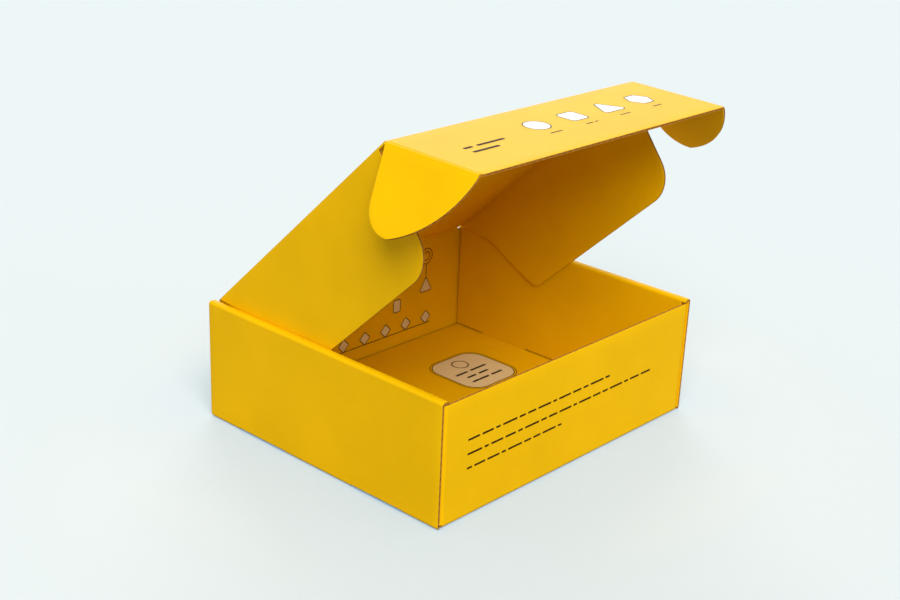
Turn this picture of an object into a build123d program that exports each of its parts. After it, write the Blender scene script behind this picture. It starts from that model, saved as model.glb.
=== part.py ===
"""A folding mailer box of yellow corrugated board, standing with its lid half open.

The tray is one folded blank: a floor, a front and a back wall whose corner flaps turn back inside
double side walls, which roll over them and lock into the floor with two tabs each.  The lid hangs on
the back wall and carries two side flaps and a front tuck flap, which carries two rounded ears.

Frame: X runs along the front from left to right, Y from front to back and Z up.  The origin is the
middle of the underside of the floor.  Lengths are in millimetres and angles in degrees.
"""

import os
from math import cos, radians, sin

from build123d import *

# Board and clearances
board = 2.4  # thickness of the corrugated board
layer_gap = 0.15  # air between two layers that are pressed together
swing_gap = 0.3  # air beside a panel that swings
tuck_gap = 0.4  # air between the closed tuck flap and the front wall

# Tray
box_length = 300.0  # outside, along X
box_depth = 255.2  # outside, along Y
side_height = 101.0  # underside of the floor to the top of a rolled side wall
end_height = 97.4  # underside of the floor to the cut top of the front and back walls
corner_radius = 4.0  # outside radius where an end wall turns into its corner flap
corner_flap_reach = 92.0  # how far a corner flap runs along inside a side wall
corner_flap_slope = 14.0  # how much its free end is cut back at the top and at the bottom
relief_radius = 2.0  # hole punched where three folds meet
tab_length = 54.0  # lock tab, along Y
tab_spacing = 129.0  # between the middles of the two tabs of a side wall
tab_rise = 0.4  # foot of a tab above the underside of the floor
slot_play = 1.6  # how much longer a floor slot is than its tab, at each end
slot_nick = 1.8  # height of the nick that a slot leaves in the outer side wall

# Lid
lid_angle = 43.05  # from closed, as it stands
side_flap_reach = 90.0  # crease to free edge
side_flap_back_start = 9.0  # lid hinge to the back end of the side crease
side_flap_front_end = 240.0  # lid hinge to the front end of the side crease
side_flap_knee_run = 21.0  # first cut of the back edge, along the crease
side_flap_knee_drop = 29.0  # the same cut, away from the crease
side_flap_back_lean = 19.0  # how far the rest of the back edge leans forward
side_flap_front_lean = 6.5  # how far the front edge leans back
side_flap_back_radius = 12.0
side_flap_front_radius = 26.0

# Front tuck flap and its ears
tuck_fold = 45.0  # turned down from the plane of the lid
tuck_reach = 88.8  # crease to free edge
ear_fold = 55.0  # turned down from the plane of the tuck flap
ear_reach = 61.3  # crease to the crown of the ear
ear_start = 3.0  # relief between the lid crease and the ear
ear_length = 88.0  # lid crease to the far end of the ear crease
ear_shoulder_run = 13.0  # end of its straight edge, along the crease
ear_shoulder_drop = 40.0  # the same, away from the crease
ear_bulge_run = 21.5  # middle of the round shoulder, along the crease
ear_bulge_drop = 54.3  # the same, away from the crease
ear_crown_run = 41.0  # crown, along the crease
ear_flank_run = 70.2  # middle of the long round flank, along the crease
ear_flank_drop = 40.0  # the same, away from the crease

# Creases: a hinged panel ends in a half round on the crease line, its carrier stops short of it
crease_radius = board / 2
crease_setback = crease_radius + swing_gap
crease_bevel = 0.7  # the inner edge of the carrier is crushed back by this much more

# Places worked out from the sizes above
half_length = box_length / 2
half_depth = box_depth / 2
outer_leg_inside = half_length - board
corner_flap_outside = outer_leg_inside - layer_gap
corner_flap_inside = corner_flap_outside - board
inner_leg_outside = corner_flap_inside - layer_gap
inner_leg_inside = inner_leg_outside - board
end_wall_inside = half_depth - board
inner_leg_half_length = end_wall_inside - layer_gap
band_underside = side_height - board
inner_leg_foot = board + layer_gap

lid_half_width = inner_leg_inside - swing_gap
side_crease_x = lid_half_width - crease_radius
lid_body_half_width = side_crease_x - crease_setback
lid_hinge = Vector(0, half_depth - crease_radius, end_height + crease_setback)
front_crease_inset = board + tuck_gap + crease_radius
lid_depth = lid_hinge.Y + half_depth - front_crease_inset


def panel_plane(origin, tilt):
    """Plane of a panel: x along the box, y out along the panel, z to its inner face."""
    lean = radians(tilt)
    return Plane(origin=origin, x_dir=(1, 0, 0), z_dir=(0, -sin(lean), -cos(lean)))


def side_plane(panel, fold):
    """Plane of a leaf on the right edge of a panel: x along the crease, y out along the leaf."""
    turn = radians(fold)
    out = panel.x_dir * cos(turn) + panel.z_dir * sin(turn)
    corner = panel.from_local_coords(Vector(side_crease_x, 0, 0))
    return Plane(origin=corner, x_dir=panel.y_dir, z_dir=panel.y_dir.cross(out))


def hinged_panel(panel, reach, end_setback, end_bevel):
    """Flat panel with a half round on its own crease and bevelled edges where other leaves hang."""
    middle = board / 2
    end = reach - end_setback
    with BuildPart() as piece:
        with BuildSketch(Plane(panel.origin, x_dir=panel.y_dir, z_dir=panel.x_dir)) as length_section:
            with BuildLine():
                Polyline(
                    (0, -middle), (end, -middle), (end, 0), (end - end_bevel, middle), (0, middle)
                )
                RadiusArc((0, middle), (0, -middle), -middle)
            make_face()
        extrude(amount=lid_body_half_width, both=True)
        with BuildSketch(Plane(panel.origin, x_dir=panel.x_dir, z_dir=-panel.y_dir)) as width_section:
            half = lid_body_half_width
            with BuildLine():
                Polyline(
                    (-half, -middle),
                    (half, -middle),
                    (half, 0),
                    (half - crease_bevel, middle),
                    (-half + crease_bevel, middle),
                    (-half, 0),
                    close=True,
                )
            make_face()
        extrude(amount=2 * reach, both=True, mode=Mode.INTERSECT)
    return piece


def leaf_strip(leaf, length, reach):
    """Strip of board along a crease, with a half round on the crease, that a leaf is cut from."""
    with BuildPart() as strip:
        with BuildSketch(Plane(leaf.origin, x_dir=leaf.y_dir, z_dir=leaf.x_dir)):
            Circle(crease_radius)
            with Locations((reach / 2, 0)):
                Rectangle(reach, board)
        extrude(amount=length)
    return strip.part


# Tray
with BuildPart() as tray:
    with BuildSketch(Plane.XY):
        Rectangle(box_length, box_depth)
    extrude(amount=side_height)
    floor_folds = tray.edges().group_by(Axis.Z)[0]
    roll_folds = tray.edges().group_by(Axis.Z)[-1].filter_by(Axis.Y)
    fillet(floor_folds + roll_folds, radius=board)

    # the space inside, and the end walls cut down to their own height
    with BuildSketch(Plane.XY.offset(board)):
        Rectangle(2 * inner_leg_inside, 2 * end_wall_inside)
    extrude(amount=side_height, mode=Mode.SUBTRACT)
    with BuildSketch(Plane.XY.offset(end_height)):
        Rectangle(2 * inner_leg_inside, 2 * box_depth)
    extrude(amount=side_height, mode=Mode.SUBTRACT)

    # the hollow of each roll, open at both ends, and its inner leg cut off behind the end walls
    hollow_width = outer_leg_inside - inner_leg_outside
    hollow_middle = (outer_leg_inside + inner_leg_outside) / 2
    with BuildSketch(Plane.XZ):
        for side in (-1, 1):
            with Locations((side * hollow_middle, (board + band_underside) / 2)):
                Rectangle(hollow_width, band_underside - board)
    extrude(amount=box_depth, both=True, mode=Mode.SUBTRACT)
    with BuildSketch(Plane.XY.offset(board)):
        leg_middle = (inner_leg_outside + inner_leg_inside) / 2
        end_margin = (half_depth - inner_leg_half_length) / 2
        for side in (-1, 1):
            with Locations(
                (side * leg_middle, half_depth - end_margin), (side * leg_middle, end_margin - half_depth)
            ):
                Rectangle(board, 2 * end_margin)
    extrude(amount=band_underside - board, mode=Mode.SUBTRACT)
    with BuildSketch(Plane.XY.offset(board)):
        for side in (-1, 1):
            with Locations((side * leg_middle, 0)):
                Rectangle(board, 2 * inner_leg_half_length)
    extrude(amount=layer_gap, mode=Mode.SUBTRACT)

    # end walls that turn back into their corner flaps inside the rolls
    with BuildSketch(Plane.XY.offset(inner_leg_foot)) as end_wall_plan:
        for end in (-1, 1):
            with Locations((0, end * (half_depth - corner_flap_reach / 2))):
                Rectangle(2 * corner_flap_outside, corner_flap_reach)
        fillet(end_wall_plan.vertices().group_by(Axis.Y)[0], radius=corner_radius)
        fillet(end_wall_plan.vertices().group_by(Axis.Y)[-1], radius=corner_radius)
        with BuildSketch(mode=Mode.SUBTRACT) as inside_plan:
            Rectangle(2 * corner_flap_inside, 2 * end_wall_inside)
            fillet(inside_plan.vertices(), radius=corner_radius - board)
    extrude(amount=end_height - inner_leg_foot)
    flap_end = half_depth - corner_flap_reach
    flap_middle = (inner_leg_foot + end_height) / 2
    flap_half_height = (end_height - inner_leg_foot) / 2
    with BuildSketch(Plane.YZ) as flap_end_cuts:
        for end in (-1, 1):
            for rise in (-1, 1):
                corner = (end * flap_end, flap_middle + rise * flap_half_height)
                with BuildLine():
                    Polyline(
                        corner,
                        (end * (flap_end + corner_flap_slope), corner[1]),
                        (corner[0], corner[1] - rise * 2 * corner_flap_slope),
                        close=True,
                    )
                make_face()
    for side in (-1, 1):
        extrude(
            flap_end_cuts.sketch.translate((side * (corner_flap_inside + corner_flap_outside) / 2, 0, 0)),
            amount=(board + layer_gap) / 2,
            both=True,
            mode=Mode.SUBTRACT,
        )

    # floor slots, the nicks beside them, and the lock tabs that stand in them
    tab_places = (-tab_spacing / 2, tab_spacing / 2)
    slot_inside = inner_leg_inside - swing_gap
    slot_length = tab_length + 2 * slot_play
    with BuildSketch(Plane.XY):
        for side in (-1, 1):
            for place in tab_places:
                with Locations((side * (slot_inside + outer_leg_inside) / 2, place)):
                    Rectangle(outer_leg_inside - slot_inside, slot_length)
    extrude(amount=board, mode=Mode.SUBTRACT)
    with BuildSketch(Plane.XY):
        for side in (-1, 1):
            for place in tab_places:
                with Locations((side * (half_length - board / 2), place)):
                    Rectangle(board, slot_length)
    extrude(amount=slot_nick, mode=Mode.SUBTRACT)
    with BuildSketch(Plane.XY.offset(tab_rise)):
        for side in (-1, 1):
            for place in tab_places:
                with Locations((side * leg_middle, place)):
                    Rectangle(board, tab_length)
    extrude(amount=inner_leg_foot + board - tab_rise)

    # relief holes at the four floor corners
    with BuildSketch(Plane.XY):
        with GridLocations(2 * outer_leg_inside, 2 * end_wall_inside, 2, 2):
            Circle(relief_radius)
    extrude(amount=inner_leg_foot, mode=Mode.SUBTRACT)
tray.part.label = "tray"

# Lid panel
lid_plane = panel_plane(lid_hinge, lid_angle)
lid_panel = hinged_panel(lid_plane, lid_depth, crease_setback, crease_bevel)
lid_panel.part.label = "lid_panel"

# Front tuck flap
front_crease = lid_hinge + lid_plane.y_dir * lid_depth
tuck_plane = panel_plane(front_crease, lid_angle - tuck_fold)
front_tuck_flap = hinged_panel(tuck_plane, tuck_reach, 0, 0)
front_tuck_flap.part.label = "front_tuck_flap"

# Side flaps, folded square to the lid
side_flap_plane = side_plane(lid_plane, 90)
with BuildPart() as right_side_flap:
    with BuildSketch(side_flap_plane) as side_flap_outline:
        back_knee = side_flap_back_start + side_flap_knee_run
        with BuildLine():
            Polyline(
                (side_flap_back_start, -board),
                (side_flap_back_start, 0),
                (back_knee, side_flap_knee_drop),
                (back_knee + side_flap_back_lean, side_flap_reach),
                (side_flap_front_end - side_flap_front_lean, side_flap_reach),
                (side_flap_front_end, 0),
                (side_flap_front_end, -board),
                close=True,
            )
        make_face()
        free_corners = side_flap_outline.vertices().group_by(Axis.Y)[-1].sort_by(Axis.X)
        fillet(free_corners[0], radius=side_flap_back_radius)
        free_corners = side_flap_outline.vertices().group_by(Axis.Y)[-1].sort_by(Axis.X)
        fillet(free_corners[-1], radius=side_flap_front_radius)
    extrude(amount=board / 2, both=True)
    add(leaf_strip(side_flap_plane, lid_depth, 2 * side_flap_reach), mode=Mode.INTERSECT)
right_side_flap.part.label = "right_side_flap"
with BuildPart() as left_side_flap:
    mirror(right_side_flap.part, about=Plane.YZ)
left_side_flap.part.label = "left_side_flap"

# Ears of the front tuck flap, part of the way folded
ear_plane = side_plane(tuck_plane, ear_fold)
with BuildPart() as right_ear:
    with BuildSketch(ear_plane):
        shoulder = (ear_shoulder_run, ear_shoulder_drop)
        crown = (ear_crown_run, ear_reach)
        with BuildLine():
            Polyline((ear_start, 0), (ear_start, -board), (ear_length, -board), (ear_length, 0))
            ThreePointArc((ear_length, 0), (ear_flank_run, ear_flank_drop), crown)
            ThreePointArc(crown, (ear_bulge_run, ear_bulge_drop), shoulder)
            Line(shoulder, (ear_start, 0))
        make_face()
    extrude(amount=board / 2, both=True)
    add(leaf_strip(ear_plane, ear_length, 2 * ear_reach), mode=Mode.INTERSECT)
right_ear.part.label = "right_ear"
with BuildPart() as left_ear:
    mirror(right_ear.part, about=Plane.YZ)
left_ear.part.label = "left_ear"

os.makedirs("parts", exist_ok=True)
export_step(tray.part, "parts/tray.step")
export_step(lid_panel.part, "parts/lid_panel.step")
export_step(front_tuck_flap.part, "parts/front_tuck_flap.step")
export_step(right_side_flap.part, "parts/right_side_flap.step")
export_step(left_side_flap.part, "parts/left_side_flap.step")
export_step(right_ear.part, "parts/right_ear.step")
export_step(left_ear.part, "parts/left_ear.step")
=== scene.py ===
"""Looks of the yellow mailer box: corrugated board with printed liners, raw fluted edges and folds.

Every piece is a sheet of board worked out from a grid of points on its middle surface. Lengths in the
shape functions are millimetres in the row frame, and the mesh builder turns them into metres.
"""

import bpy
import numpy as np
from mathutils import Matrix


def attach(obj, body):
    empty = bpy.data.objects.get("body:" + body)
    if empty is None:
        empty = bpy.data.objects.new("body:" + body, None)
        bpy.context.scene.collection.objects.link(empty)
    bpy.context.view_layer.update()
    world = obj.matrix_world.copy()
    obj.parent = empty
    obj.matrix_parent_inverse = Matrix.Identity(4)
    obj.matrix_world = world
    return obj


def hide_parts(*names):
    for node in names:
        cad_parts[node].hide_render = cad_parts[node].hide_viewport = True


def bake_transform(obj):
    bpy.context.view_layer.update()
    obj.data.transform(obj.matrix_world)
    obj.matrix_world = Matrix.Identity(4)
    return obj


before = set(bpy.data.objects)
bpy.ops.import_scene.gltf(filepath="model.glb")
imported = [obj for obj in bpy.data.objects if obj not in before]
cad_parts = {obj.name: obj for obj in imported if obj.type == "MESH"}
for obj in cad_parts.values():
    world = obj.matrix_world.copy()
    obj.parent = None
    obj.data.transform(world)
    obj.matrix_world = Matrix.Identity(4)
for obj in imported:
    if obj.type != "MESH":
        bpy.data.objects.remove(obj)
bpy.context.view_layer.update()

# Metres in a millimetre
millimetre = 0.001

# Make of the board
flute_pitch = 6.4
liner = 0.3
medium = 0.2
groove_depth = 0.9
crushed_cut = 0.72
crushed_crease = 0.7
crushed_width = 1.5
fine_step = 0.55
panel_step = 8.0
sharp_edge = np.radians(32.0)

# Sizes of the box, the same as in the frame
board = 2.4
half = board / 2
layer_gap = 0.15
swing_gap = 0.3
half_length = 150.0
half_depth = 127.6
side_height = 101.0
end_height = 97.4
corner_radius = 4.0
corner_flap_reach = 92.0
tab_length = 54.0
tab_spacing = 129.0
tab_rise = 0.4
slot_nick = 1.8
crease_setback = half + swing_gap
hinge = np.array([0.0, half_depth - half, end_height + crease_setback])
lid_angle = np.radians(43.05)
lid_depth = 250.0
tuck_fold = np.radians(45.0)
tuck_reach = 88.8
ear_fold = np.radians(55.0)
side_crease_x = 141.0
panel_half_width = side_crease_x - crease_setback
inner_half_width = panel_half_width - crushed_width
panel_stops = (-panel_half_width, -inner_half_width, inner_half_width, panel_half_width)
fold_radius = half + 0.2
crease_bend = half + 0.1

# Where the looks depart from the frame: inner legs stand clearer at the foot, floor slots are closer
# round their tabs, and the lid swells outwards
leg_gap = 1.3
slot_play = 0.5
lid_swell = 0.7

# Where crease strips start and end along their crease, from the lid hinge or the lid's front crease
side_crease_run = (5.5, 249.2)
ear_crease_run = (0.9, 87.4)

# Corners of the leaves, along the crease and away from it, a little longer at the crease than in the
# frame, so that no notch shows where three panels meet
side_flap_corners = (
    (5.5, crease_setback),
    (28.0, 29.0),
    (49.0, 90.0),
    (233.5, 90.0),
    (242.5, crease_setback),
)
side_flap_radii = (5.0, 12.0, 26.0)
ear_start = (2.2, crease_setback)
ear_shoulder = (13.0, 40.0)
ear_bulge = (21.5, 54.3)
ear_crown = (41.0, 61.3)
ear_flank = (70.2, 40.0)
ear_end = (88.0, 0.0)
leaf_rows = 14

# Directions of the lid and the tuck flap: out along the panel, and out of its printed face
across_x = np.array([1.0, 0.0, 0.0])
lid_out = np.array([0.0, -np.cos(lid_angle), np.sin(lid_angle)])
lid_up = np.array([0.0, np.sin(lid_angle), np.cos(lid_angle)])
tuck_angle = lid_angle - tuck_fold
tuck_out = np.array([0.0, -np.cos(tuck_angle), np.sin(tuck_angle)])
tuck_up = np.array([0.0, np.sin(tuck_angle), np.cos(tuck_angle)])
front_crease = hinge + lid_depth * lid_out


def srgb(red, green, blue):
    """Linear colour of an sRGB colour given from 0 to 255."""
    value = np.array([red, green, blue]) / 255.0
    low = value / 12.92
    high = ((value + 0.055) / 1.055) ** 2.4
    return (*np.where(value <= 0.04045, low, high), 1.0)


# Materials
def new_material(name, colour, roughness, specular=0.5):
    """A Principled material, with its nodes, its links and its shader to go on with."""
    material = bpy.data.materials.new(name)
    material.use_nodes = True
    shader = material.node_tree.nodes["Principled BSDF"]
    shader.inputs["Base Color"].default_value = colour
    shader.inputs["Roughness"].default_value = roughness
    shader.inputs["Specular IOR Level"].default_value = specular
    return material, material.node_tree.nodes, material.node_tree.links, shader


def paper_grain_group():
    """Node group: cloudy tone and fine fibre height of paper, from a position and two scales."""
    group = bpy.data.node_groups.new("paper_grain", "ShaderNodeTree")
    face = group.interface
    face.new_socket("Vector", in_out="INPUT", socket_type="NodeSocketVector")
    face.new_socket("Cloud Scale", in_out="INPUT", socket_type="NodeSocketFloat")
    face.new_socket("Fibre Scale", in_out="INPUT", socket_type="NodeSocketFloat")
    face.new_socket("Cloud", in_out="OUTPUT", socket_type="NodeSocketFloat")
    face.new_socket("Fibre", in_out="OUTPUT", socket_type="NodeSocketFloat")
    start = group.nodes.new("NodeGroupInput")
    end = group.nodes.new("NodeGroupOutput")
    cloud = group.nodes.new("ShaderNodeTexNoise")
    cloud.inputs["Detail"].default_value = 3.0
    fibre = group.nodes.new("ShaderNodeTexNoise")
    fibre.inputs["Detail"].default_value = 6.0
    fibre.inputs["Roughness"].default_value = 0.7
    group.links.new(start.outputs["Vector"], cloud.inputs["Vector"])
    group.links.new(start.outputs["Vector"], fibre.inputs["Vector"])
    group.links.new(start.outputs["Cloud Scale"], cloud.inputs["Scale"])
    group.links.new(start.outputs["Fibre Scale"], fibre.inputs["Scale"])
    group.links.new(cloud.outputs["Fac"], end.inputs["Cloud"])
    group.links.new(fibre.outputs["Fac"], end.inputs["Fibre"])
    return group


paper_grain = paper_grain_group()


def board_face(name, colour, washboard):
    """Printed liner: even ink, faint clouds, paper fibre and the washboard of the flutes below."""
    roughness, specular, fibre_height = 0.45, 0.045, 0.35
    material, nodes, links, shader = new_material(name, colour, roughness, specular)
    place = nodes.new("ShaderNodeTexCoord")
    grain = nodes.new("ShaderNodeGroup")
    grain.node_tree = paper_grain
    grain.inputs["Cloud Scale"].default_value = 18.0
    grain.inputs["Fibre Scale"].default_value = 900.0
    links.new(place.outputs["Object"], grain.inputs["Vector"])

    tone = nodes.new("ShaderNodeMapRange")
    tone.inputs["From Min"].default_value = 0.3
    tone.inputs["From Max"].default_value = 0.7
    tone.inputs["To Min"].default_value = 0.955
    tone.inputs["To Max"].default_value = 1.03
    links.new(grain.outputs["Cloud"], tone.inputs["Value"])
    tint = nodes.new("ShaderNodeVectorMath")
    tint.operation = "SCALE"
    tint.inputs[0].default_value = colour[:3]
    links.new(tone.outputs["Result"], tint.inputs["Scale"])
    links.new(tint.outputs["Vector"], shader.inputs["Base Color"])

    gloss = nodes.new("ShaderNodeMapRange")
    gloss.inputs["To Min"].default_value = 0.36
    gloss.inputs["To Max"].default_value = 0.52
    links.new(grain.outputs["Fibre"], gloss.inputs["Value"])
    links.new(gloss.outputs["Result"], shader.inputs["Roughness"])

    flutes = nodes.new("ShaderNodeUVMap")
    flutes.uv_map = "flutes"
    split = nodes.new("ShaderNodeSeparateXYZ")
    links.new(flutes.outputs["UV"], split.inputs["Vector"])
    turns = nodes.new("ShaderNodeMath")
    turns.operation = "MULTIPLY"
    turns.inputs[1].default_value = 2 * np.pi / (flute_pitch * millimetre)
    links.new(split.outputs["X"], turns.inputs[0])
    wave = nodes.new("ShaderNodeMath")
    wave.operation = "SINE"
    links.new(turns.outputs["Value"], wave.inputs[0])
    scaled = nodes.new("ShaderNodeMath")
    scaled.operation = "MULTIPLY"
    scaled.inputs[1].default_value = washboard
    links.new(wave.outputs["Value"], scaled.inputs[0])
    height = nodes.new("ShaderNodeMath")
    height.operation = "MULTIPLY_ADD"
    height.inputs[1].default_value = fibre_height
    links.new(grain.outputs["Fibre"], height.inputs[0])
    links.new(scaled.outputs["Value"], height.inputs[2])
    bump = nodes.new("ShaderNodeBump")
    bump.inputs["Strength"].default_value = 0.25
    bump.inputs["Distance"].default_value = 0.0002
    links.new(height.outputs["Value"], bump.inputs["Height"])
    links.new(bump.outputs["Normal"], shader.inputs["Normal"])
    return material


def raw_paper(name, colour, fibre_scale):
    """Unprinted brown paper: torn fibre in its tone and its height."""
    roughness, specular = 0.95, 0.03
    material, nodes, links, shader = new_material(name, colour, roughness, specular)
    place = nodes.new("ShaderNodeTexCoord")
    grain = nodes.new("ShaderNodeGroup")
    grain.node_tree = paper_grain
    grain.inputs["Cloud Scale"].default_value = 60.0
    grain.inputs["Fibre Scale"].default_value = fibre_scale
    links.new(place.outputs["Object"], grain.inputs["Vector"])
    tone = nodes.new("ShaderNodeMapRange")
    tone.inputs["From Min"].default_value = 0.25
    tone.inputs["From Max"].default_value = 0.75
    tone.inputs["To Min"].default_value = 0.6
    tone.inputs["To Max"].default_value = 1.35
    links.new(grain.outputs["Fibre"], tone.inputs["Value"])
    tint = nodes.new("ShaderNodeVectorMath")
    tint.operation = "SCALE"
    tint.inputs[0].default_value = colour[:3]
    links.new(tone.outputs["Result"], tint.inputs["Scale"])
    links.new(tint.outputs["Vector"], shader.inputs["Base Color"])
    bump = nodes.new("ShaderNodeBump")
    bump.inputs["Strength"].default_value = 0.5
    bump.inputs["Distance"].default_value = 0.0002
    links.new(grain.outputs["Fibre"], bump.inputs["Height"])
    links.new(bump.outputs["Normal"], shader.inputs["Normal"])
    return material


yellow_face = board_face("yellow_liner", srgb(239, 188, 4), 0.35)
cut_paper = raw_paper("cut_liner", srgb(196, 138, 58), 1500.0)
# The groove walls take a darker brown than the cut liner: partly the paper and partly painted shade deep
# in the groove between the flutes
painted_groove_shade = raw_paper("groove_paper_painted_shade", srgb(160, 106, 40), 1200.0)

FACE, CUT, GROOVE_PAINTED_SHADE = 0, 1, 2
board_materials = (yellow_face, cut_paper, painted_groove_shade)


# Mesh building
class Pile:
    """Points, faces, material numbers and flute coordinates of one piece, gathered grid by grid."""

    def __init__(self):
        self.points = []
        self.faces = []
        self.slots = []
        self.flutes = []
        self.count = 0

    def add_points(self, points, across):
        """Adds points in a block of any shape and returns their numbers in the same shape."""
        flat = np.asarray(points, float).reshape(-1, 3)
        numbers = self.count + np.arange(len(flat)).reshape(np.shape(points)[:-1])
        self.points.append(flat)
        self.flutes.append(np.broadcast_to(across, numbers.shape).reshape(-1))
        self.count += len(flat)
        return numbers

    def add_grid(self, numbers, slot, turned=False, keep=None):
        """Quads over a grid of point numbers; turned reverses them, keep is a mask of cells or of rows."""
        quads = np.stack([numbers[:-1, :-1], numbers[1:, :-1], numbers[1:, 1:], numbers[:-1, 1:]], -1)
        if turned:
            quads = quads[..., ::-1]
        if keep is not None:
            quads = quads[keep]
        quads = quads.reshape(-1, 4)
        self.faces.append(quads)
        self.slots.append(np.full(len(quads), slot))

    def to_object(self, name, materials):
        """Makes the mesh object, in metres, with smooth faces split at sharp angles."""
        points = np.concatenate(self.points) * millimetre
        faces = np.concatenate(self.faces)
        mesh = bpy.data.meshes.new(name)
        mesh.vertices.add(len(points))
        mesh.vertices.foreach_set("co", points.ravel())
        mesh.loops.add(4 * len(faces))
        mesh.loops.foreach_set("vertex_index", faces.ravel().astype(np.int32))
        mesh.polygons.add(len(faces))
        mesh.polygons.foreach_set("loop_start", (4 * np.arange(len(faces))).astype(np.int32))
        mesh.polygons.foreach_set("material_index", np.concatenate(self.slots).astype(np.int32))
        mesh.update(calc_edges=True)
        uv = mesh.uv_layers.new(name="flutes")
        across = np.concatenate(self.flutes)[faces.ravel()] * millimetre
        uv.data.foreach_set("uv", np.stack([across, np.zeros(len(across))], -1).ravel())
        for material in materials:
            mesh.materials.append(material)
        mesh.validate()
        piece = bpy.data.objects.new(name, mesh)
        bpy.context.scene.collection.objects.link(piece)
        mesh.shade_smooth()
        mesh.set_sharp_from_angle(angle=sharp_edge)
        return piece


def unit(vectors):
    """Vectors scaled to length one, with no division by zero."""
    length = np.linalg.norm(vectors, axis=-1, keepdims=True)
    return vectors / np.maximum(length, 1e-9)


def cut_rim(pile, top, bottom, middle, normal, inward, across, turned, kept):
    """Raw edge: two liner edges, a groove between them, and the fluted middle as a sine in it.

    The groove is a five-step profile carried along the rim. The middle is a thin strip whose height is
    a sine of the coordinate across the flutes, so it waves where the cut crosses them and runs straight
    where it follows them.
    """
    inner = half * crushed_cut - liner
    edge = middle[:, None, :] + normal[:, None, :] * np.array([inner, inner, -inner, -inner])[:, None]
    edge = edge + inward[:, None, :] * np.array([0.0, groove_depth, groove_depth, 0.0])[:, None]
    ring = pile.add_points(edge, across[:, None])
    pile.add_grid(np.stack([top, ring[:, 0]], 1), CUT, turned, kept)
    # Groove walls in the darker brown: partly paper, partly painted shade in the recess
    pile.add_grid(ring, GROOVE_PAINTED_SHADE, turned, kept)
    pile.add_grid(np.stack([ring[:, 3], bottom], 1), CUT, turned, kept)

    first_crest, set_back = 0.8, 0.06
    swing = inner - medium / 2
    height = swing * np.sin(2 * np.pi * (across + first_crest) / flute_pitch)
    line = middle + normal * height[:, None]
    along = unit(np.gradient(line, axis=0))
    face = unit(np.cross(along, inward))
    offsets = np.array([medium / 2, medium / 2, -medium / 2, -medium / 2])
    depths = np.array([groove_depth, set_back, set_back, groove_depth])
    strip = line[:, None, :] + face[:, None, :] * offsets[:, None] + inward[:, None, :] * depths[:, None]
    facing = np.einsum("ij,ij->i", face, normal).mean()
    numbers = pile.add_points(strip, across[:, None])
    pile.add_grid(numbers, CUT, turned if facing > 0 else not turned, kept)


def add_sheet(pile, middle, normal, across, rims, keep=None, thickness=1.0):
    """A sheet of board on a grid of middle points: two liners half a board each side, and its rims.

    rims names what closes the four sides of the grid, in the order first row, last row, first column,
    last column: cut is a raw fluted edge, crushed thinner by the cutting rule, crease a flat strip
    crushed by the scoring rule, plain a flat strip and None nothing, where two sheets meet.
    """
    thick = np.full(middle.shape[:2], half * thickness)
    for edge, rim in zip((np.s_[0, :], np.s_[-1, :], np.s_[:, 0], np.s_[:, -1]), rims):
        thick[edge] = half * {"cut": crushed_cut, "crease": crushed_crease}.get(rim, thickness)
    over = middle + normal * thick[..., None]
    under = middle - normal * thick[..., None]
    top = pile.add_points(over, across)
    bottom = pile.add_points(under, across)
    ahead = middle[1:, :-1] - middle[:-1, :-1]
    aside = middle[:-1, 1:] - middle[:-1, :-1]
    turned = bool((np.cross(ahead, aside) * normal[:-1, :-1]).sum() < 0)
    pile.add_grid(top, FACE, turned, keep)
    pile.add_grid(bottom, FACE, not turned, keep)
    whole = np.ones((len(middle) - 1, middle.shape[1] - 1), bool) if keep is None else keep
    sides = (
        (np.s_[0, :], np.s_[1, :], whole[0], False),
        (np.s_[-1, :], np.s_[-2, :], whole[-1], True),
        (np.s_[:, 0], np.s_[:, 1], whole[:, 0], True),
        (np.s_[:, -1], np.s_[:, -2], whole[:, -1], False),
    )
    for (here, next_in, kept, flip), rim in zip(sides, rims):
        if rim is None:
            continue
        flipped = flip != turned
        if rim != "cut":
            pile.add_grid(np.stack([top[here], bottom[here]], 1), CUT, flipped, kept)
            continue
        along = unit(np.gradient(middle[here], axis=0))
        inward = unit(np.cross(normal[here], along))
        towards = (middle[next_in] - middle[here]).mean(axis=0)
        if inward.mean(axis=0) @ towards < 0:
            inward = -inward
        line = (top[here], bottom[here], middle[here], normal[here], inward, across[here])
        cut_rim(pile, *line, flipped, kept)
    if keep is not None:
        close_holes(pile, top, bottom, keep, turned)


def close_holes(pile, top, bottom, keep, turned):
    """Flat walls round the cells that keep leaves out, between the two liners."""
    rows, columns = keep.shape
    for row, column in np.argwhere(~keep):
        corners = ((row, column), (row + 1, column), (row + 1, column + 1), (row, column + 1))
        beside = ((row, column - 1), (row + 1, column), (row, column + 1), (row - 1, column))
        for number, (r, c) in enumerate(beside):
            if not (0 <= r < rows and 0 <= c < columns) or not keep[r, c]:
                continue
            a = corners[number]
            b = corners[(number + 1) % 4]
            wall = np.array([[top[a], bottom[a]], [top[b], bottom[b]]])
            pile.add_grid(wall, CUT, turned)


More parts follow.
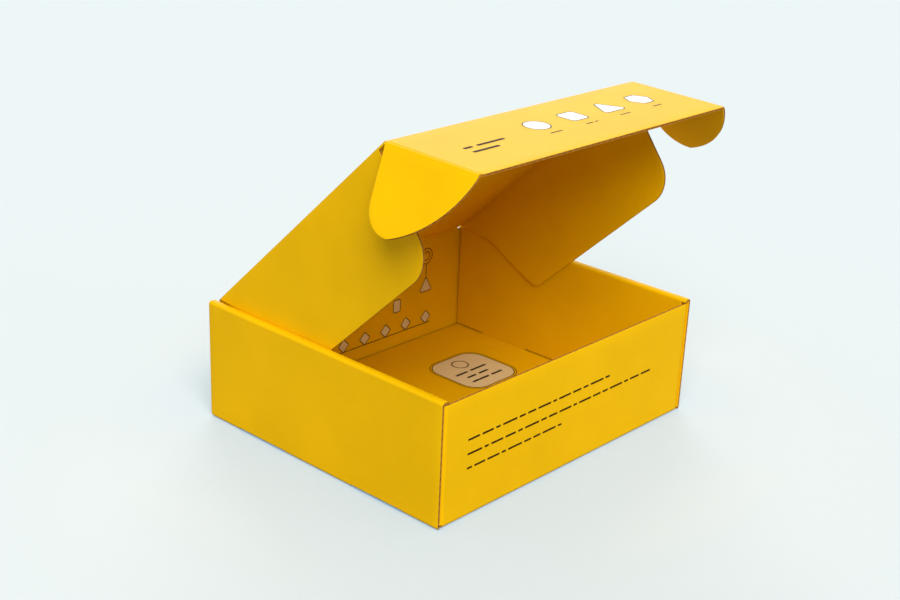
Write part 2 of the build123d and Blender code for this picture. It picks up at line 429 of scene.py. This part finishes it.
def rounded_path(corners, radii, steps):
    """Path through corner points in a plane, each inner corner turned into an arc of its own radius.

    Returns the points, unit normals to the left of the direction of travel, and the length so far. Each
    straight stretch is divided into equal steps, a quarter circle into ten or more, a shorter arc into
    four or more.
    """
    quarter_steps, fewest_steps = 10, 4
    corners = np.asarray(corners, float)
    path = [corners[0]]
    for number, (before, corner, after) in enumerate(zip(corners[:-2], corners[1:-1], corners[2:])):
        into = unit(corner - before)
        out = unit(after - corner)
        turn = np.arctan2(into[0] * out[1] - into[1] * out[0], into @ out)
        if abs(turn) < 1e-6:
            path.extend(straight(path[-1], corner, steps[number])[1:])
            continue
        radius = radii[number]
        begin = corner - into * radius * np.tan(abs(turn) / 2)
        centre = begin + np.array([-into[1], into[0]]) * np.sign(turn) * radius
        density = max(quarter_steps / (np.pi / 2), radius / steps[number])
        count = max(fewest_steps, int(np.ceil(abs(turn) * density)))
        angles = np.linspace(0.0, turn, count + 1)
        spoke = begin - centre
        cosine, sine = np.cos(angles), np.sin(angles)
        turned_x = spoke[0] * cosine - spoke[1] * sine
        turned_y = spoke[0] * sine + spoke[1] * cosine
        bend = centre + np.stack([turned_x, turned_y], -1)
        path.extend(straight(path[-1], bend[0], steps[number])[1:])
        path.extend(bend[1:])
    path.extend(straight(path[-1], corners[-1], steps[-1])[1:])
    path = np.array(path)
    ahead = unit(np.gradient(path, axis=0))
    normals = np.stack([-ahead[:, 1], ahead[:, 0]], -1)
    lengths = np.concatenate([[0.0], np.cumsum(np.linalg.norm(np.diff(path, axis=0), axis=1))])
    return path, normals, lengths


def straight(start, end, step):
    """Points from start to end in equal steps no longer than step."""
    count = max(1, int(np.ceil(np.linalg.norm(end - start) / step)))
    return start + (end - start) * np.linspace(0.0, 1.0, count + 1)[:, None]


def steps_through(stops, step):
    """Rising values through all the stops, in equal steps between two of them."""
    values = [stops[0]]
    for low, high in zip(stops[:-1], stops[1:]):
        count = max(1, int(np.ceil((high - low) / step)))
        values.extend(np.linspace(low, high, count + 1)[1:])
    return np.array(values)


def flat_grid(origin, rows, row_way, columns, column_way, normal):
    """Grid of points rows times one direction plus columns times another, with one normal."""
    middle = origin + rows[:, None, None] * row_way + columns[None, :, None] * column_way
    return middle, np.broadcast_to(normal, middle.shape)


def swell(rows, columns):
    """Height of a soft swelling, one in the middle and nothing at the four sides of a grid."""
    high = np.sin(np.pi * (rows - rows[0]) / (rows[-1] - rows[0]))
    wide = np.sin(np.pi * (columns - columns[0]) / (columns[-1] - columns[0]))
    return high[:, None, None] * wide[None, :, None]


# Tray
def side_walls_and_floor(pile):
    """One sheet from lock tab to lock tab: inner leg, roll, outer wall, floor and the same back up.

    The section is a rounded path in the X-Z plane, carried along Y. Its length along Y depends on the
    stretch, and cells are left out for the floor slots and between the tabs. The first and last rows of
    cells are spare ones that are left out too, which closes the feet of the tabs.
    """
    spare_row, end_inset, long_step = 0.05, 6.0, 9.0
    leg = half_length - 2 * (board + layer_gap) - half
    wall = half_length - half
    band = side_height - half
    foot = board + leg_gap
    slot = leg - half - swing_gap
    right = [(leg, tab_rise - spare_row), (leg, tab_rise), (leg, foot), (leg, band)]
    right += [(wall, band), (wall, half), (slot, half)]
    corners = right + [(-x, z) for x, z in right[::-1]]
    steps = [1.0, 1.0, 5.0, 1.0, fine_step, 2.0, 6.0, 2.0, fine_step, 1.0, 5.0, 1.0, 1.0]
    path, normals, lengths = rounded_path(corners, [fold_radius] * (len(corners) - 2), steps)
    x, z = np.abs(path[:, 0]), path[:, 1]
    on_leg = (x < leg + 0.01) & (z < band - fold_radius + 0.01)
    on_floor = z < half + 0.001
    reach = np.where(on_floor, half_depth - half - fold_radius, half_depth)
    reach = np.where(on_leg, half_depth - board - leg_gap, reach)

    ends = [(side * tab_spacing / 2, end) for side in (-1, 1) for end in (-1, 1)]
    slot_ends = [place + end * (tab_length / 2 + slot_play) for place, end in ends]
    tab_ends = [place + end * tab_length / 2 for place, end in ends]
    inner_end = half_depth - end_inset
    y = steps_through(sorted([-inner_end, inner_end] + slot_ends + tab_ends), long_step)
    fixed = np.broadcast_to(y, (len(path), len(y)))
    inner, outer = reach[:, None] - crushed_width, reach[:, None]
    columns = np.concatenate([-outer, -inner, fixed, inner, outer], 1)

    middle = np.stack(np.broadcast_arrays(path[:, :1], columns, path[:, 1:]), -1)
    normal = np.stack([normals[:, 0], np.zeros(len(path)), normals[:, 1]], -1)
    normal = np.broadcast_to(normal[:, None, :], middle.shape)
    across = np.broadcast_to(lengths[:, None], columns.shape)

    centre_x, centre_z = (x[1:] + x[:-1]) / 2, (z[1:] + z[:-1]) / 2
    centre_y = (columns[0, 1:] + columns[0, :-1]) / 2
    from_tab = np.abs(np.abs(centre_y) - tab_spacing / 2)
    nick = fold_radius + half - (fold_radius + half - slot_nick) * fold_radius / (fold_radius + half)
    between = (np.abs(centre_x - leg) < 0.01) & (centre_z < foot)
    slotted = (centre_x > slot) & (centre_z < nick) & ~between
    keep = ~(slotted[:, None] & (from_tab < tab_length / 2 + slot_play)[None, :])
    keep &= ~(between[:, None] & (from_tab > tab_length / 2)[None, :])
    keep[[0, -1]] = False
    add_sheet(pile, middle, normal, across, (None, None, "cut", "cut"), keep)


def end_wall(pile, end):
    """Front wall, end -1, or back wall, end 1: one sheet that turns back into its two corner flaps.

    The plan is a rounded path in the X-Y plane carried up in Z, with a quarter round below it that
    joins the floor.
    """
    flap = half_length - board - layer_gap - half
    wall = half_depth - half
    flap_end = wall - corner_flap_reach
    corners = [(flap, flap_end), (flap, wall), (-flap, wall), (-flap, flap_end)]
    path, normals, lengths = rounded_path(corners, [corner_radius - half] * 2, [6.0, fine_step, 6.0])
    path, normals = path * (1, end), -normals * (1, end)
    z = steps_through([half + fold_radius, end_height - crushed_width, end_height], panel_step)
    middle = np.stack(np.broadcast_arrays(path[:, :1], path[:, 1:], z[None, :]), -1)
    normal = np.concatenate([normals, np.zeros((len(path), 1))], -1)[:, None, :] * np.ones((1, len(z), 1))
    across = np.broadcast_to(lengths[:, None], middle.shape[:2])
    add_sheet(pile, middle, normal, across, ("plain", "plain", "plain", "cut"))

    angles = np.linspace(0.0, np.pi / 2, 9)
    x = steps_through([-(flap - half), flap - half], panel_step)
    spoke = np.stack([np.zeros(len(angles)), end * np.sin(angles), -np.cos(angles)], -1)
    centre = np.array([0.0, end * (wall - fold_radius), half + fold_radius])
    middle = spoke[:, None, :] * fold_radius + centre
    middle = middle + x[None, :, None] * across_x
    normal = spoke[:, None, :] * np.ones((1, len(x), 1))
    add_sheet(pile, middle, normal, np.broadcast_to(x, middle.shape[:2]), (None, None, "plain", "plain"))


def make_tray():
    """The folded tray, which stands for the solid of the same name."""
    pile = Pile()
    side_walls_and_floor(pile)
    for end in (-1, 1):
        end_wall(pile, end)
    tray = pile.to_object("tray_board", board_materials)
    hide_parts("tray")
    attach(tray, "tray_body")


# Lid and flaps
def make_lid():
    """Lid panel between its creases, swollen outwards by less than a millimetre."""
    pile = Pile()
    far_end = lid_depth - crease_setback
    s = steps_through([crease_setback, 2 * crease_setback, far_end - crease_setback, far_end], panel_step)
    x = steps_through(panel_stops, panel_step)
    middle, normal = flat_grid(hinge, s, lid_out, x, across_x, lid_up)
    middle = middle + lid_swell * swell(s, x) * lid_up
    add_sheet(pile, middle, normal, np.broadcast_to(x, middle.shape[:2]), ("crease",) * 4)
    lid = pile.to_object("lid_board", board_materials)
    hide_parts("lid_panel")
    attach(lid, "lid")


def make_tuck_flap():
    """Front tuck flap, with its raw front edge."""
    pile = Pile()
    s = steps_through([crease_setback, 2 * crease_setback, tuck_reach - crushed_width, tuck_reach], 6.0)
    x = steps_through(panel_stops, fine_step)
    middle, normal = flat_grid(front_crease, s, tuck_out, x, across_x, tuck_up)
    rims = ("crease", "cut", "crease", "crease")
    add_sheet(pile, middle, normal, np.broadcast_to(x, middle.shape[:2]), rims)
    flap = pile.to_object("tuck_flap_board", board_materials)
    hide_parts("front_tuck_flap")
    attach(flap, "tuck_flap")


def leaf(outline, rows, origin, along, out, normal):
    """Flat leaf on a crease: straight rulings run from the crease to a rounded outline.

    outline holds how far along the crease and away from it each point is. The last value returned is
    how far from the crease each point of the grid is.
    """
    reach = outline[:, 1:] - crease_setback
    strip = np.minimum(crushed_width, reach / 3)
    between = strip + (reach - 2 * strip) * np.linspace(0.0, 1.0, rows)
    away = crease_setback + np.concatenate([0 * reach, between, reach], 1)
    middle = origin + outline[:, :1, None] * along + away[..., None] * out
    return middle, np.broadcast_to(normal, middle.shape), away


def side_flap_outline():
    """Side flap, along and away from its crease: a kinked back edge and two round free corners."""
    steps = [fine_step, fine_step, 3.0, fine_step]
    return rounded_path(side_flap_corners, side_flap_radii, steps)[0]


def arc_through(first, middle, last, step):
    """Points on the circle through three points, from the first to the last."""
    first, middle, last = (np.asarray(point, float) for point in (first, middle, last))
    lines = 2 * np.array([middle - first, last - first])
    centre = np.linalg.solve(lines, [middle @ middle - first @ first, last @ last - first @ first])
    radius = np.linalg.norm(first - centre)
    angles = [np.arctan2(*(point - centre)[::-1]) for point in (first, middle, last)]
    angles = np.unwrap(angles)
    count = int(np.ceil(abs(angles[-1] - angles[0]) * radius / step))
    turn = np.linspace(angles[0], angles[-1], count + 1)
    return centre + radius * np.stack([np.cos(turn), np.sin(turn)], -1)


def ear_outline():
    """Ear, along and away from its crease: a straight edge, a round shoulder and a long round flank."""
    edge = straight(np.array(ear_start), np.array(ear_shoulder), fine_step)
    bulge = arc_through(ear_shoulder, ear_bulge, ear_crown, fine_step)
    flank = arc_through(ear_crown, ear_flank, ear_end, fine_step)
    flank = flank[flank[:, 1] > crease_setback]
    return np.concatenate([edge, bulge[1:], flank[1:]])


def make_leaf(name, node, body, outline, origin, along, out, normal):
    """One side flap or ear as a piece of board with a raw outline."""
    pile = Pile()
    middle, normals, away = leaf(outline, leaf_rows, origin, along, out, normal)
    add_sheet(pile, middle, normals, away, (None, None, "crease", "cut"))
    piece = pile.to_object(name, board_materials)
    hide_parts(node)
    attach(piece, body)


# Creases
def make_crease(name, point, axis, run, parent_out, parent_up, fold):
    """Folded strip of board over a hinge line, from one panel to the next.

    Its section is a short path with one rounded corner on the hinge line, carried along the axis.
    """
    pile = Pile()
    corners = np.array([(-1.0, 0.0), (0.0, 0.0), (np.cos(fold), -np.sin(fold))]) * crease_setback
    path, normals, lengths = rounded_path(corners, [crease_bend], [0.4, 0.4])
    start, end = run
    t = steps_through([start, end], 6.0)
    middle = path[:, :1, None] * parent_out + path[:, 1:, None] * parent_up
    middle = point + middle + t[None, :, None] * axis
    normal = normals[:, :1] * parent_out + normals[:, 1:] * parent_up
    normal = normal[:, None, :] * np.ones((1, len(t), 1))
    across = np.broadcast_to(t, middle.shape[:2])
    rims = ("crease", "crease", "plain", "plain")
    add_sheet(pile, middle, normal, across, rims, thickness=crushed_crease)
    crease = pile.to_object(name, board_materials)
    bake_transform(crease)


up = np.array([0.0, 0.0, 1.0])
back = np.array([0.0, 1.0, 0.0])

make_tray()
make_lid()
make_tuck_flap()
for side, word in ((-1, "left"), (1, "right")):
    flap, flap_body = f"{word}_side_flap", f"{word}_flap"
    ear, ear_body = f"{word}_ear", f"{word}_tuck_ear"
    aside = side * across_x
    side_line = hinge + side_crease_x * aside
    ear_line = front_crease + side_crease_x * aside
    ear_out = np.cos(ear_fold) * aside - np.sin(ear_fold) * tuck_up
    ear_up = np.sin(ear_fold) * aside + np.cos(ear_fold) * tuck_up
    make_leaf(f"{flap}_board", flap, flap_body, side_flap_outline(), side_line, lid_out, -lid_up, aside)
    make_leaf(f"{ear}_board", ear, ear_body, ear_outline(), ear_line, tuck_out, ear_out, ear_up)
    side_name = f"{word}_side_crease"
    make_crease(side_name, side_line, lid_out, side_crease_run, aside, lid_up, np.pi / 2)
    ear_name = f"{word}_ear_crease"
    make_crease(ear_name, ear_line, tuck_out, ear_crease_run, aside, tuck_up, ear_fold)
x_run = (-panel_half_width, panel_half_width)
make_crease("tuck_crease", front_crease, across_x, x_run, lid_out, lid_up, tuck_fold)
make_crease("hinge_crease", hinge, across_x, x_run, up, back, np.pi / 2 - lid_angle)


# Print
def arc(centre, radius, first, last, count):
    """Points on an arc, angles in degrees."""
    angles = np.radians(np.linspace(first, last, count))
    return np.array(centre) + radius * np.stack([np.cos(angles), np.sin(angles)], -1)


def ring(centre, radius):
    """Outline of a circle, not closed."""
    return arc(centre, radius, 0, 345, 24)


def round_box(centre, width, height, radius):
    """Outline of a rectangle with round corners."""
    x, y = width / 2 - radius, height / 2 - radius
    outline = []
    for a, b, turn in ((x, y, 0), (-x, y, 90), (-x, -y, 180), (x, -y, 270)):
        outline.append(arc(np.add(centre, (a, b)), radius, turn, turn + 90, 7))
    return np.concatenate(outline)


def round_polygon(centre, radius, sides, turn, corner):
    """Outline of a regular polygon with round corners, turned by some degrees."""
    half_turn = 180.0 / sides
    outline = []
    for head in turn + 2 * half_turn * np.arange(sides):
        spoke = arc((0, 0), radius - corner, head, head, 1)[0]
        outline.append(arc(np.add(centre, spoke), corner, head - half_turn, head + half_turn, 7))
    return np.concatenate(outline)


class Print:
    """Inked shapes on one plane, a hair above the liner, in millimetres right and up on it."""

    def __init__(self, origin, right, upwards, normal):
        self.origin = origin
        self.frame = np.stack([right, upwards, normal])
        self.points = []
        self.faces = []
        self.slots = []

    def add(self, flat, faces, ink, lift):
        """Adds flat points and their faces in one ink."""
        start = len(self.points)
        lifted = np.concatenate([flat, np.full((len(flat), 1), lift)], -1)
        self.points.extend((self.origin + lifted @ self.frame) * millimetre)
        self.faces.extend([tuple(start + number for number in face) for face in faces])
        self.slots.extend([ink] * len(faces))

    def fill(self, outline, ink):
        """Area inside a closed outline."""
        self.add(outline, [tuple(range(len(outline)))], ink, fill_lift)

    def line(self, path, width, closed=False):
        """Dark line of even width along a path."""
        if closed:
            path = np.concatenate([path[-1:], path, path[:1]])
        ahead = unit(np.gradient(path, axis=0))
        aside = np.stack([-ahead[:, 1], ahead[:, 0]], -1) * width / 2
        if closed:
            path, aside = path[1:], aside[1:]
            aside[-1] = aside[0]
        count = len(path)
        faces = [(n, n + 1, count + n + 1, count + n) for n in range(count - 1)]
        self.add(np.concatenate([path - aside, path + aside]), faces, INK, line_lift)

    def shape(self, outline, ink, width=0.9):
        """Filled shape with a dark outline."""
        self.fill(outline, ink)
        self.line(outline, width, closed=True)

    def bars(self, left, base, length, height, seed):
        """Row of dark bars with even gaps, their lengths rising and falling as a sine of their number.

        All proportions are in bar heights: shortest bar, what the sine adds to it, gap and corner.
        """
        shortest, added, gap, corner, turn = 2.6, 7.0, 1.5, 0.35, 2.4
        place = left
        number = 0
        while place < left + length - 2 * height:
            wave = 0.5 + 0.5 * np.sin(turn * number + seed)
            width = min(height * (shortest + added * wave), left + length - place)
            centre = (place + width / 2, base + height / 2)
            self.fill(round_box(centre, width, height, height * corner), INK)
            place += width + height * gap
            number += 1

    def to_object(self, name, body):
        """Makes the mesh object and lets it ride on a body."""
        mesh = bpy.data.meshes.new(name)
        mesh.from_pydata(self.points, [], self.faces)
        mesh.polygons.foreach_set("material_index", self.slots)
        for ink in inks:
            mesh.materials.append(ink)
        piece = bpy.data.objects.new(name, mesh)
        bpy.context.scene.collection.objects.link(piece)
        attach(piece, body)


INK, WHITE, TAN = 0, 1, 2
ink_roughness = 0.6
ink_specular = 0.06
fill_lift = 0.04
line_lift = 0.08
label_centre = (74.0, 40.3)
label_width = 60.0
inks = tuple(
    new_material(name, colour, ink_roughness, ink_specular)[0]
    for name, colour in (
        ("dark_ink", srgb(52, 32, 5)),
        ("white_ink", srgb(246, 246, 238)),
        ("tan_ink", srgb(230, 212, 164)),
    )
)


def print_front_wall():
    """Three rows of bars that stand for lines of small print."""
    page = Print(np.array([0.0, -half_depth, 0.0]), across_x, up, -back)
    for base, length, seed in ((62.0, 168.0, 0.4), (50.5, 226.0, 2.0), (39.0, 112.0, 4.1)):
        page.bars(-121.0, base, length, 1.7, seed)
    page.to_object("front_wall_print", "tray_body")


def print_tuck_flap():
    """Two heading bars and a row of four plain white shapes with dark outlines and a bar below each."""
    page = Print(front_crease + half * tuck_up, across_x, -tuck_out, tuck_up)
    page.bars(-110.0, -46.0, 46.0, 3.0, 5.2)
    page.bars(-110.0, -55.0, 27.0, 3.0, 1.0)
    outlines = (
        ring((-24.0, -37.0), 10.5),
        round_box((17.0, -37.0), 19.0, 19.0, 4.0),
        round_polygon((58.0, -39.0), 13.0, 3, 90.0, 3.0),
        round_polygon((99.0, -37.0), 11.5, 6, 0.0, 2.0),
    )
    for outline in outlines:
        page.shape(outline, WHITE)
    for x, seed in ((-24.0, 1.0), (17.0, 3.4), (58.0, 0.6), (99.0, 2.8)):
        page.bars(x - 7.0, -56.5, 14.0, 1.5, seed)
    page.to_object("tuck_flap_print", "tuck_flap")


def print_floor_label():
    """Tan label with a double outline, a ring and centred bars."""
    page = Print(np.array([*label_centre, board]), across_x, back, up)
    page.shape(round_box((0.0, 0.0), label_width, label_width + 2.0, 16.0), TAN)
    page.line(round_box((0.0, 0.0), label_width + 4.0, label_width + 6.0, 18.0), 0.7, closed=True)
    page.line(ring((0.0, 16.0), 7.5), 1.1, closed=True)
    for base, length in ((0.0, 42.0), (-9.0, 32.0), (-18.0, 38.0)):
        page.bars(-length / 2, base, length, 2.4, base)
    page.to_object("floor_label_print", "tray_body")


def print_back_wall():
    """Row of small diamonds on a line, and a ring and a diamond joined by a stem, inside the back wall."""
    thin = 0.8
    page = Print(np.array([0.0, half_depth - board, 0.0]), across_x, up, -back)
    page.line(straight(np.array([-40.0, 14.5]), np.array([106.0, 14.5]), 20.0), thin)
    for x in np.arange(-30.0, 106.0, 26.0):
        page.shape(round_polygon((x, 20.5), 6.0, 4, 90.0, 0.8), TAN, thin)
    page.line(straight(np.array([99.0, 58.0]), np.array([99.0, 73.0]), 20.0), thin)
    page.shape(round_polygon((99.0, 51.0), 8.0, 3, 90.0, 1.5), TAN, thin)
    for radius in (4.0, 7.5):
        page.line(ring((99.0, 80.5), radius), thin, closed=True)
    page.shape(round_box((62.0, 41.0), 9.0, 12.0, 2.0), TAN, thin)
    page.to_object("back_wall_print", "tray_body")


print_front_wall()
print_tuck_flap()
print_floor_label()
print_back_wall()


# Floor, light and camera
floor_paint = (0.595, 0.589, 0.597)
floor_glow = (0.10, 0.20, 0.22)
floor_grey = srgb(160, 162, 164)
backdrop_colour = srgb(238, 247, 247)
sky_colour = srgb(252, 252, 255)
# Painted contact shadow on the floor: reach and samples of its ambient occlusion, and its tint per channel
painted_shadow_reach = 0.12
painted_shadow_samples = 6
painted_shadow_tint = np.array([0.64, 0.83, 1.08])
sky_strength = 0.40
key_colour = (1.0, 0.96, 0.88)
key_sun = (-42.0, 46.0, 1.0 * np.pi, 42.0)
front_sun = (25.0, 4.0, 0.12 * np.pi, 30.0)
back_sun = (135.0, 24.0, 0.36 * np.pi, 40.0)


def make_floor():
    """Wide pale floor just below the box: paint with a faint glow to the camera, grey in other rays.

    The glow holds more green and blue than red, and close to the box an ambient occlusion node darkens the
    paint
    and the glow, red most: a painted contact shadow, so that the yellow light off the box doesn't tint it.
    """
    mesh = bpy.data.meshes.new("studio_floor")
    reach, drop = 9.0, -0.0003
    corners = [(-reach, -reach, drop), (reach, -reach, drop), (reach, reach, drop), (-reach, reach, drop)]
    mesh.from_pydata(corners, [], [(0, 1, 2, 3)])
    floor = bpy.data.objects.new("studio_floor", mesh)
    bpy.context.scene.collection.objects.link(floor)
    material, nodes, links, shader = new_material("floor_paint", floor_grey, 1.0, 0.0)
    mesh.materials.append(material)
    # Painted contact shadow: ambient occlusion darkens the floor's paint and glow close to the box, red
    # most
    painted_shadow_ao = nodes.new("ShaderNodeAmbientOcclusion")
    painted_shadow_ao.inputs["Distance"].default_value = painted_shadow_reach
    painted_shadow_ao.samples = painted_shadow_samples
    painted_shadow_fade = nodes.new("ShaderNodeVectorMath")
    painted_shadow_fade.operation = "MULTIPLY_ADD"
    painted_shadow_fade.inputs[1].default_value = 1.0 - painted_shadow_tint
    painted_shadow_fade.inputs[2].default_value = painted_shadow_tint
    links.new(painted_shadow_ao.outputs["AO"], painted_shadow_fade.inputs[0])
    paper = nodes.new("ShaderNodeBsdfDiffuse")
    glow = nodes.new("ShaderNodeEmission")
    for colour, layer in ((floor_paint, paper), (floor_glow, glow)):
        tint = nodes.new("ShaderNodeVectorMath")
        tint.operation = "MULTIPLY"
        tint.inputs[0].default_value = colour
        links.new(painted_shadow_fade.outputs["Vector"], tint.inputs[1])
        links.new(tint.outputs["Vector"], layer.inputs["Color"])
    seen = nodes.new("ShaderNodeAddShader")
    links.new(paper.outputs["BSDF"], seen.inputs[0])
    links.new(glow.outputs["Emission"], seen.inputs[1])
    rays = nodes.new("ShaderNodeLightPath")
    pick = nodes.new("ShaderNodeMixShader")
    links.new(rays.outputs["Is Camera Ray"], pick.inputs["Fac"])
    links.new(shader.outputs["BSDF"], pick.inputs[1])
    links.new(seen.outputs["Shader"], pick.inputs[2])
    links.new(pick.outputs["Shader"], nodes["Material Output"].inputs["Surface"])


def add_sun(name, turn, height, strength, width, colour=(1.0, 1.0, 1.0)):
    """Sun lamp, turned from the front towards the right, at a height over the horizon, in degrees."""
    sun = bpy.data.lights.new(name, "SUN")
    sun.energy = strength
    sun.angle = np.radians(width)
    sun.color = colour
    lamp = bpy.data.objects.new(name, sun)
    bpy.context.scene.collection.objects.link(lamp)
    lamp.rotation_euler = (np.radians(90.0 - height), 0.0, np.radians(turn))


def make_light():
    """Even pale world, a wide sun from the left above and two weak low ones, from front and back.

    To the camera the world has the far floor's colour, so that the floor has no edge in a low view.
    """
    world = bpy.data.worlds.new("studio")
    bpy.context.scene.world = world
    world.use_nodes = True
    nodes, links = world.node_tree.nodes, world.node_tree.links
    sky = nodes["Background"]
    sky.inputs["Color"].default_value = sky_colour
    sky.inputs["Strength"].default_value = sky_strength
    backdrop = nodes.new("ShaderNodeBackground")
    backdrop.inputs["Color"].default_value = backdrop_colour
    rays = nodes.new("ShaderNodeLightPath")
    pick = nodes.new("ShaderNodeMixShader")
    links.new(rays.outputs["Is Camera Ray"], pick.inputs["Fac"])
    links.new(sky.outputs["Background"], pick.inputs[1])
    links.new(backdrop.outputs["Background"], pick.inputs[2])
    links.new(pick.outputs["Shader"], nodes["World Output"].inputs["Surface"])
    add_sun("key_sun", *key_sun, key_colour)
    add_sun("front_sun", *front_sun)
    add_sun("back_sun", *back_sun)


def make_camera():
    """Camera where the photograph was taken from, in millimetres and degrees."""
    image_width = 900.0
    focal_pixels = 1499.4
    centre_drop_pixels = 40.0
    place = np.array([-842.3, -755.2, 546.6])
    yaw, pitch, roll = np.radians([48.01, 23.05, 2.47])
    ahead = np.array([np.sin(yaw) * np.cos(pitch), np.cos(yaw) * np.cos(pitch), -np.sin(pitch)])
    level = unit(np.cross(ahead, up))
    upright = np.cross(level, ahead)
    right = level * np.cos(roll) + upright * np.sin(roll)
    top = -level * np.sin(roll) + upright * np.cos(roll)
    data = bpy.data.cameras.new("photo_camera")
    data.sensor_width = 36.0
    data.lens = focal_pixels / image_width * data.sensor_width
    data.shift_y = centre_drop_pixels / image_width
    data.clip_end = 50.0
    camera = bpy.data.objects.new("photo_camera", data)
    bpy.context.scene.collection.objects.link(camera)
    matrix = np.eye(4)
    matrix[:3] = np.stack([right, top, -ahead, place * millimetre], -1)
    camera.matrix_world = Matrix(matrix.tolist())
    bpy.context.scene.camera = camera


make_floor()
make_light()
make_camera()
bpy.context.scene.view_settings.view_transform = "Standard"
